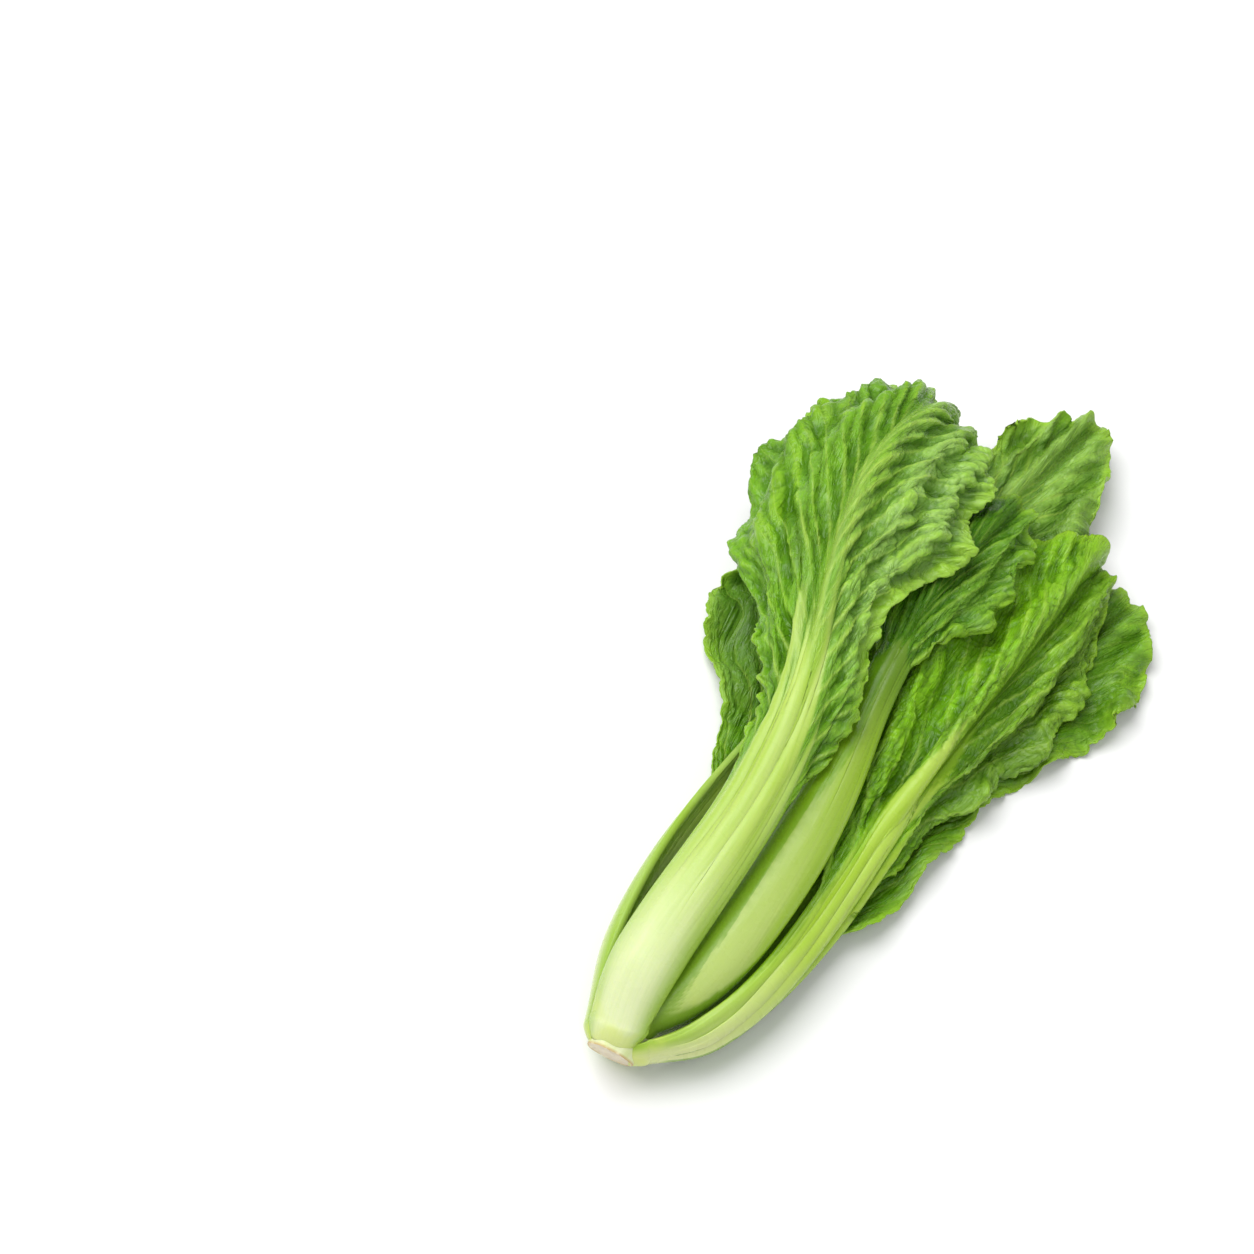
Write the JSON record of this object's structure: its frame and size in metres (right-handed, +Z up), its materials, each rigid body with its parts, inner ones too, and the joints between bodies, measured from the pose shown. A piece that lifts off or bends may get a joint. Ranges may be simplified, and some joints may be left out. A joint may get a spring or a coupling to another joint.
{
  "type": "head of mustard greens",
  "caption": "Head of mustard greens lying on its side: a cut stem with long pale fleshy stalks that open into broad, blistered and ruffled green leaves.",
  "frame": {"origin": "middle of the head's box seen from above, on the surface that it lies on", "axes": "+Y along the head from the cut stem to the leaf tips, +Z up, +X to the right seen from above with the tips away"},
  "size_m": [0.1916, 0.3716, 0.0736],
  "materials": {
    "stem": "pale cream-green stem with a dry pinkish-white cut face",
    "leaf": "fresh leaf: near-white satin stalk and pale veins, mid green blistered blade with a lighter margin"
  },
  "bodies": {
    "root": {"cut_stem": "stem", "leaf_under": "leaf", "leaf_low_right": "leaf", "leaf_far": "leaf", "leaf_heart": "leaf", "leaf_right": "leaf", "leaf_middle": "leaf", "leaf_top": "leaf"}
  },
  "joints": []
}
